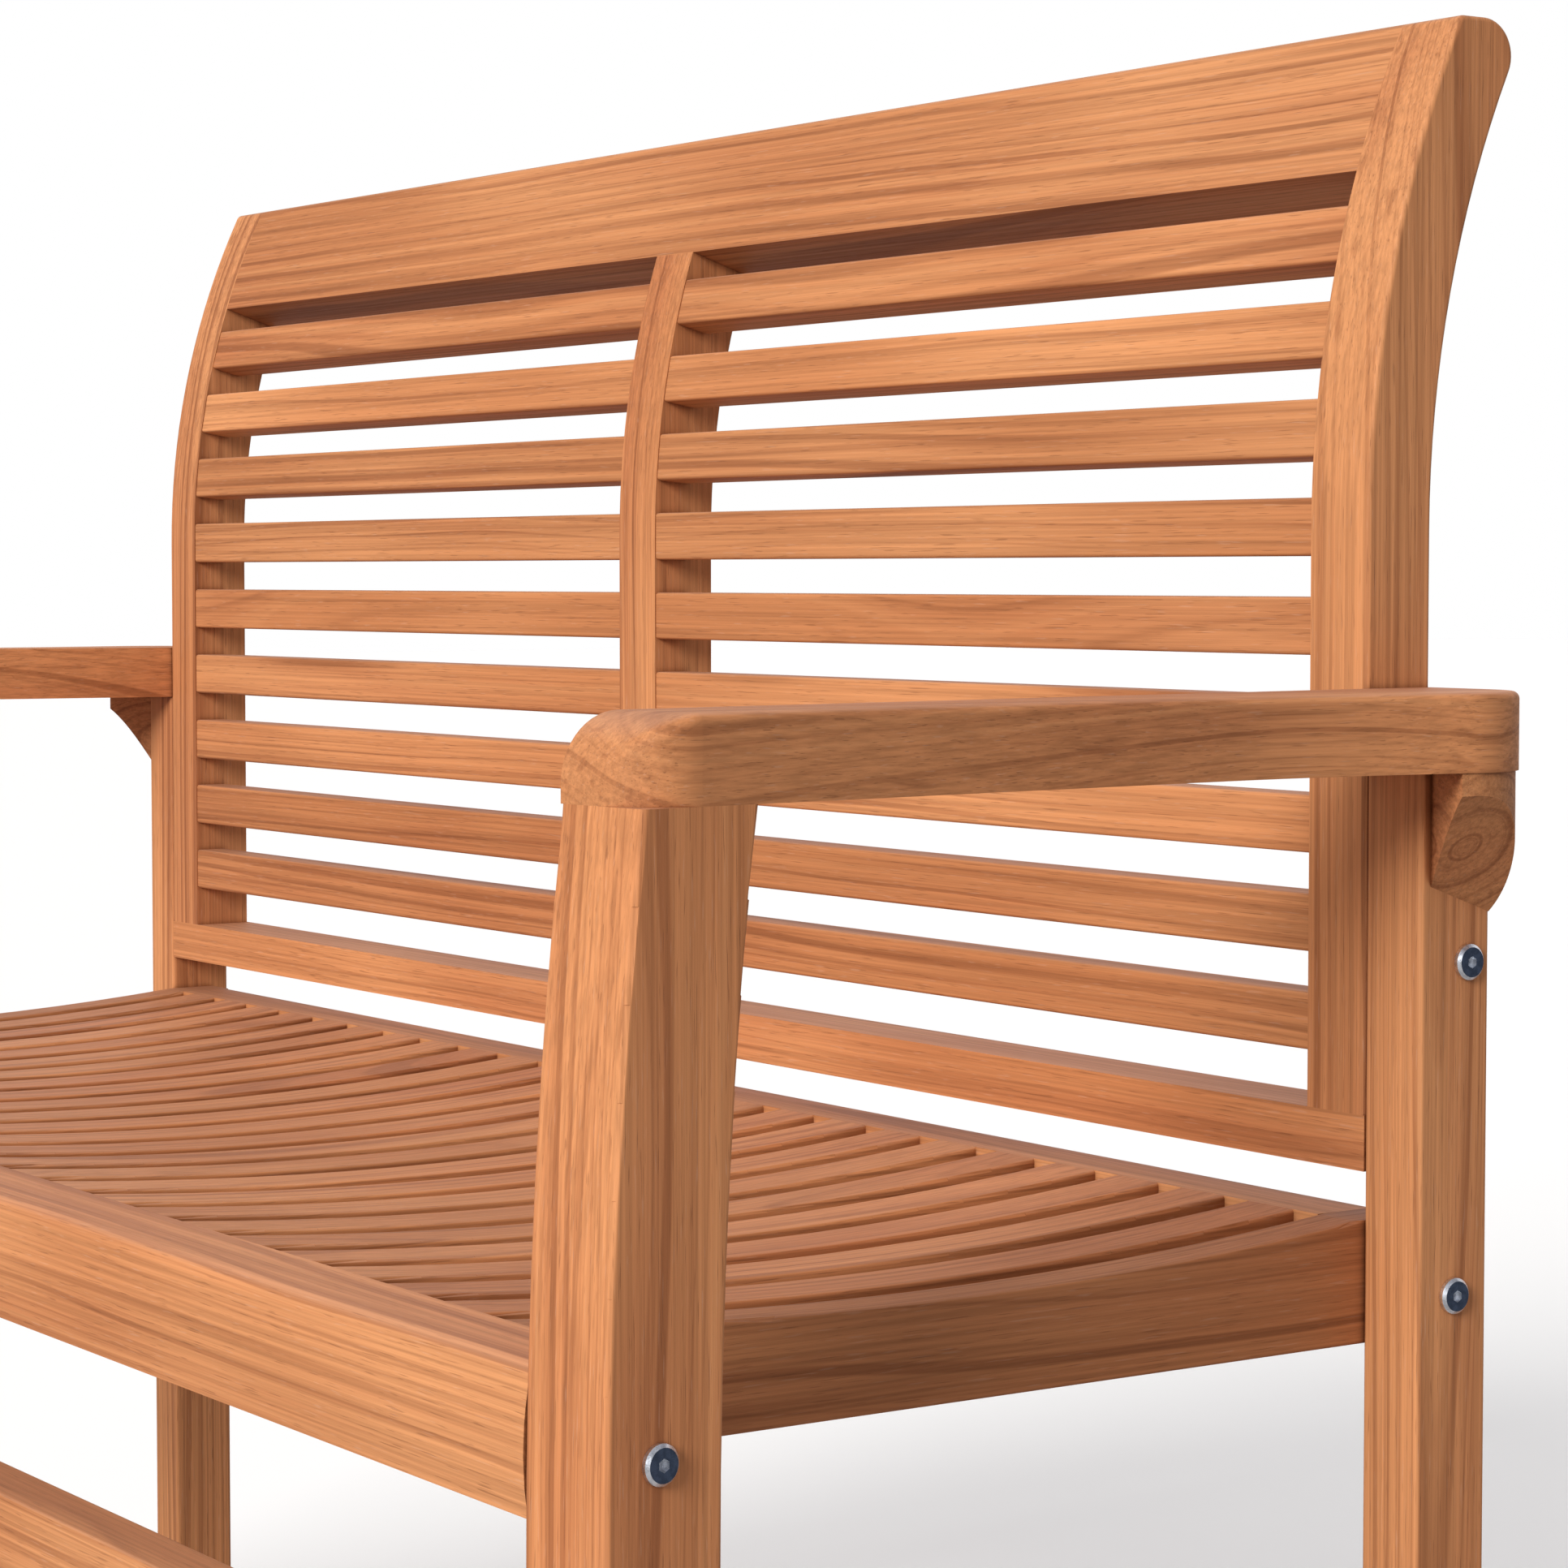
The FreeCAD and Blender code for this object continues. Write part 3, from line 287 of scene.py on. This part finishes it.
def growth_rings(graph, name, place, sides, figure, seed):
    """Rings round a pith beside the piece, which wander and ripple along the grain."""
    centre = piece_centre(name)
    angle = 2 * math.pi * fraction(seed, "pith_angle")
    reach = PITH_NEAR + (PITH_FAR - PITH_NEAR) * fraction(seed, "pith_reach")
    if name.startswith(KNOTTY):
        reach = KNOT_REACH
    pith = (reach * math.cos(angle), reach * math.sin(angle))
    squares = []
    for side, offset in zip(sides, pith):
        from_pith = graph.add(place[side], offset - centre[side])
        squares.append(graph.times(from_pith, from_pith))
    radius = graph.math("SQRT", graph.add(*squares))
    radius = graph.add(radius, graph.times(layer_noise(graph, figure, WANDER), 2 * RING_WANDER))
    ripple = layer_noise(graph, figure, RIPPLE)
    radius = graph.add(radius, graph.times(ripple, RING_RIPPLE * RING_WANDER))
    return graph.noise_line(graph.times(radius, RINGS_PER_METRE), RING_DETAIL, RING_ROUGH)


def wood_figure(graph, figure, rings, fibre, dark_pores):
    """The colour of the wood itself: patches, rings, streaks, fibres and pores."""
    u, v, along = figure
    broad = layer_noise(graph, figure, BROAD)
    streaks = layer_noise(graph, figure, STREAKS)
    pale_pores = graph.ramp(layer_noise(graph, (v, u, along), PALE_PORES), *PALE_PORE_STEP)
    dark_ring = graph.times(graph.ramp(rings, *DARK_RING_STEP), graph.ramp(broad, *RING_STRENGTH_STEP))
    colour = graph.mix(graph.ramp(layer_noise(graph, figure, PATCHES), *PATCH_STEP), MID_WOOD, PALE_WOOD)
    colour = graph.mix(graph.ramp(broad, *RED_STEP), colour, RED_WOOD)
    colour = graph.mix(dark_ring, colour, DARK_WOOD)
    colour = graph.mix(graph.ramp(rings, *PALE_RING_STEP), colour, PALE_WOOD)
    colour = graph.mix(graph.ramp(streaks, *STREAK_STEP), colour, DARK_WOOD)
    colour = graph.shade(colour, graph.ramp(fibre, *FIBRE_STEP))
    colour = graph.mix(graph.times(dark_pores, DARK_PORE_SHARE), colour, PORE_DARK)
    return graph.mix(graph.times(pale_pores, PALE_PORE_SHARE), colour, PORE_PALE)


def tops_ends_and_painted_shade(graph, colour, grain, reach):
    """The wood's colour with greyer top faces, end grain and painted shade in its joints and between the
    seat slats.
    """
    normal = graph.separate(graph.place.outputs["Normal"])
    # up-facing faces turn greyer and paler
    colour = graph.mix(graph.ramp(normal[2], *PALE_TOP_STEP), colour, PALE_TOP_COLOUR)
    end_face = graph.math("ABSOLUTE", normal[grain])
    colour = graph.shade(colour, graph.ramp(end_face, *END_GRAIN_STEP))
    # painted shade: darker and browner where other wood is near
    painted_shade = graph.mix(1.0, colour, PAINTED_SHADE_TINT, "MULTIPLY")
    return graph.mix(graph.ramp(graph.seam(reach), *PAINTED_SHADE_STEP), painted_shade, colour)


def teak(name, axis, seed, tone):
    """Bare teak whose grain runs along an axis, with its own figure and tone for each piece."""
    graph = Graph("teak_" + name)
    place = graph.separate(graph.place.outputs["Object"])
    grain = AXES.index(axis)
    sides = [number for number in range(len(AXES)) if number != grain]
    figure = (graph.add(place[sides[0]], SHIFT_ACROSS * fraction(seed, "across_u")),
              graph.add(place[sides[1]], SHIFT_ACROSS * fraction(seed, "across_v")),
              graph.add(place[grain], SHIFT_ALONG * fraction(seed, "along")))
    rings = growth_rings(graph, name, place, sides, figure, seed)
    fibre = layer_noise(graph, figure, FIBRE)
    dark_pores = graph.ramp(layer_noise(graph, figure, DARK_PORES), *DARK_PORE_STEP)

    colour = wood_figure(graph, figure, rings, fibre, dark_pores)
    # the painted shade spreads further between the seat slats
    colour = tops_ends_and_painted_shade(graph, colour, grain, SLOT_PAINTED_SHADE_REACH if name.startswith("seat_slat") else JOINT_PAINTED_SHADE_REACH)
    colour = graph.shade(colour, tone * (TONE_LEAST + TONE_SPAN * fraction(seed, "tone")))
    graph.set(graph.shader.inputs["Base Color"], colour)
    graph.set(graph.shader.inputs["Roughness"], graph.ramp(fibre, *WOOD_ROUGHNESS_STEP))
    graph.shader.inputs["Specular IOR Level"].default_value = WOOD_SPECULAR
    height = graph.add(graph.times(fibre, FIBRE_HEIGHT), graph.times(rings, RING_HEIGHT))
    graph.bump(graph.add(height, graph.times(dark_pores, PORE_HEIGHT)), *WOOD_BUMP)
    return graph.material


# ---------------------------------------------------------------- steel and beech
def fine_marks(graph, per_metre, kind):
    """Small marks that look the same in every direction."""
    return graph.noise(graph.shade(graph.place.outputs["Object"], per_metre), *kind)


def bolt_steel(name):
    """Zinc plated bolt steel: a flat face painted dark blue, partly the zinc's own blue and partly
    painted reflection, a painted highlight on the bevel and in the socket, fine scratches.
    """
    graph = Graph(name)
    normal = graph.separate(graph.place.outputs["Normal"])
    scratches = fine_marks(graph, SCRATCHES_PER_METRE, FINE_NOISE)
    stains = fine_marks(graph, STAINS_PER_METRE, SOFT_NOISE)
    # painted reflection on the flat face, painted highlight on the bevel and in the socket
    face_reflection_mask = graph.ramp(graph.math("ABSOLUTE", normal[0]), *BOLT_FACE_REFLECTION_STEP)
    colour = graph.mix(face_reflection_mask, BRIGHT_ZINC_AND_PAINTED_HIGHLIGHT, BLUE_ZINC_AND_PAINTED_REFLECTION)
    colour = graph.mix(graph.ramp(graph.seam(SOCKET_HIGHLIGHT_REACH), *SOCKET_HIGHLIGHT_STEP), colour, BRIGHT_ZINC_AND_PAINTED_HIGHLIGHT)
    colour = graph.shade(colour, graph.ramp(stains, *STAIN_STEP))
    graph.set(graph.shader.inputs["Base Color"], colour)
    graph.shader.inputs["Metallic"].default_value = 1.0
    graph.set(graph.shader.inputs["Roughness"], graph.ramp(scratches, *BOLT_ROUGHNESS_STEP))
    graph.bump(scratches, *BOLT_BUMP)
    return graph.material


def plain_steel(name):
    """Turned steel for the nuts and inserts hidden in the wood."""
    graph = Graph(name)
    marks = fine_marks(graph, MARKS_PER_METRE, FINE_NOISE)
    colour = graph.shade(PLAIN_STEEL, graph.ramp(marks, *MARK_STEP))
    graph.set(graph.shader.inputs["Base Color"], colour)
    graph.shader.inputs["Metallic"].default_value = 1.0
    graph.set(graph.shader.inputs["Roughness"], graph.ramp(marks, *PLAIN_ROUGHNESS_STEP))
    return graph.material


def beech(name):
    """Pale beech for the dowels, with short dark flecks."""
    graph = Graph(name)
    flecks = fine_marks(graph, FLECKS_PER_METRE, SOFT_NOISE)
    graph.set(graph.shader.inputs["Base Color"], graph.shade(BEECH, graph.ramp(flecks, *FLECK_STEP)))
    graph.shader.inputs["Roughness"].default_value = BEECH_ROUGHNESS
    graph.bump(flecks, *BEECH_BUMP)
    return graph.material


# ---------------------------------------------------------------- shading of flat faces
def even_shading(piece):
    """Keep flat faces flat in shade up to their rounded edges.

    Modifiers do it, so the CAD mesh itself stays as it is.
    """
    split = piece.modifiers.new("sharp corners", "EDGE_SPLIT")
    split.split_angle = SHARP_ANGLE
    weighted = piece.modifiers.new("even shading", "WEIGHTED_NORMAL")
    weighted.mode = "FACE_AREA"
    weighted.keep_sharp = True


# ---------------------------------------------------------------- which piece gets which material
KNOTTY = ("arm_bracket",)
TONES = {"back_slat_row": 0.98, "seat_side_rail": 0.84, "arm_bracket": 0.84, "arm": 1.04,
         "front_leg": 1.20, "rear_leg": 1.04}     # any other wood is 1
GRAIN_ALONG_Y = ("seat_slat", "arm_right", "arm_left", "seat_side_rail")
GRAIN_ALONG_Z = ("front_leg", "rear_leg", "back_stile", "back_centre_stile")


def grain_axis(node):
    """The axis along which a wooden node's grain runs."""
    if node.startswith(GRAIN_ALONG_Y):
        return "Y"
    return "Z" if node.startswith(GRAIN_ALONG_Z) else "X"


def wood_tone(node):
    """How dark a wooden node is beside the rest."""
    return next((tone for start, tone in TONES.items() if node.startswith(start)), 1.0)


def dress(nodes):
    """Give every CAD node its material and its even shading."""
    steel = bolt_steel("zinc_bolt_steel")
    plain = plain_steel("plain_steel")
    dowel_wood = beech("beech_dowel")
    for seed, node in enumerate(sorted(nodes), start=1):
        if node.endswith("bolts"):
            material = steel
        elif node in ("barrel_nuts", "threaded_inserts"):
            material = plain
        elif node.endswith("dowels"):
            material = dowel_wood
        else:
            material = teak(node, grain_axis(node), seed, wood_tone(node))
        for slot in nodes[node].material_slots:
            slot.material = material
        even_shading(nodes[node])


# ---------------------------------------------------------------- studio
def make_floor():
    """A plain pale floor."""
    half = FLOOR_SIZE / 2
    mesh = bpy.data.meshes.new("floor")
    corners = [(-half, -half, 0), (half, -half, 0), (half, half, 0), (-half, half, 0)]
    mesh.from_pydata(corners, [], [(0, 1, 2, 3)])
    floor = bpy.data.objects.new("floor", mesh)
    bpy.context.scene.collection.objects.link(floor)
    graph = Graph("pale_floor")
    rays = graph.tree.nodes.new("ShaderNodeLightPath")
    graph.set(graph.shader.inputs["Base Color"],
              graph.mix(rays.outputs["Is Camera Ray"], FLOOR_BOUNCE, FLOOR_COLOUR))
    graph.shader.inputs["Roughness"].default_value = FLOOR_ROUGHNESS
    graph.shader.inputs["Specular IOR Level"].default_value = FLOOR_SPECULAR
    mesh.materials.append(graph.material)
    floor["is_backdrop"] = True


def make_world():
    """A white backdrop that lights the bench less brightly than it looks."""
    world = bpy.data.worlds.new("studio")
    bpy.context.scene.world = world
    world.use_nodes = True
    tree = world.node_tree
    tree.nodes.clear()
    output = tree.nodes.new("ShaderNodeOutputWorld")
    background = tree.nodes.new("ShaderNodeBackground")
    rays = tree.nodes.new("ShaderNodeLightPath")
    choice = tree.nodes.new("ShaderNodeMixRGB")
    choice.inputs["Color1"].default_value = AMBIENT
    choice.inputs["Color2"].default_value = BACKDROP
    tree.links.new(rays.outputs["Is Camera Ray"], choice.inputs["Fac"])
    tree.links.new(choice.outputs["Color"], background.inputs["Color"])
    tree.links.new(background.outputs[0], output.inputs["Surface"])


def make_light(name, source, strength, spread):
    """One broad soft light that comes from a direction."""
    light = bpy.data.lights.new(name, "SUN")
    light.energy = strength
    light.angle = math.radians(spread)
    lamp = bpy.data.objects.new(name, light)
    lamp.rotation_euler = Vector(source).to_track_quat("Z", "Y").to_euler()
    bpy.context.scene.collection.objects.link(lamp)


def make_camera():
    """The camera, at the height of the arms, in front of the bench's right hand end."""
    data = bpy.data.cameras.new("camera")
    data.lens = CAMERA_LENS
    data.sensor_width = CAMERA_SENSOR
    camera = bpy.data.objects.new("camera", data)
    camera.location = CAMERA_PLACE
    camera.rotation_euler = (math.radians(90 + CAMERA_PITCH), 0.0, math.radians(CAMERA_YAW))
    bpy.context.scene.collection.objects.link(camera)
    bpy.context.scene.camera = camera


def plain_list(value):
    """Numbers of a box as plain nested lists."""
    if isinstance(value, (int, float)):
        return float(value)
    return [plain_list(item) for item in value]


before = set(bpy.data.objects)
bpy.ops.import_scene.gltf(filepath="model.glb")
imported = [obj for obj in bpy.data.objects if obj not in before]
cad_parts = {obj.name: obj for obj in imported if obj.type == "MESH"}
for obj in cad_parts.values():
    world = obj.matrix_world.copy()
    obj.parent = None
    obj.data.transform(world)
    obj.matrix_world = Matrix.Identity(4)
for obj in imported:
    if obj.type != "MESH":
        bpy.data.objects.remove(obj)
cad_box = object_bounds()
dress(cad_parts)
make_floor()
make_world()
make_light("key", KEY_FROM, KEY_STRENGTH, KEY_SPREAD)
make_light("top", TOP_FROM, TOP_STRENGTH, TOP_SPREAD)
make_light("rear", REAR_FROM, REAR_STRENGTH, REAR_SPREAD)
make_camera()
bpy.context.scene.view_settings.view_transform = "Standard"
{"cad": plain_list(cad_box), "visual": plain_list(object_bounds())}
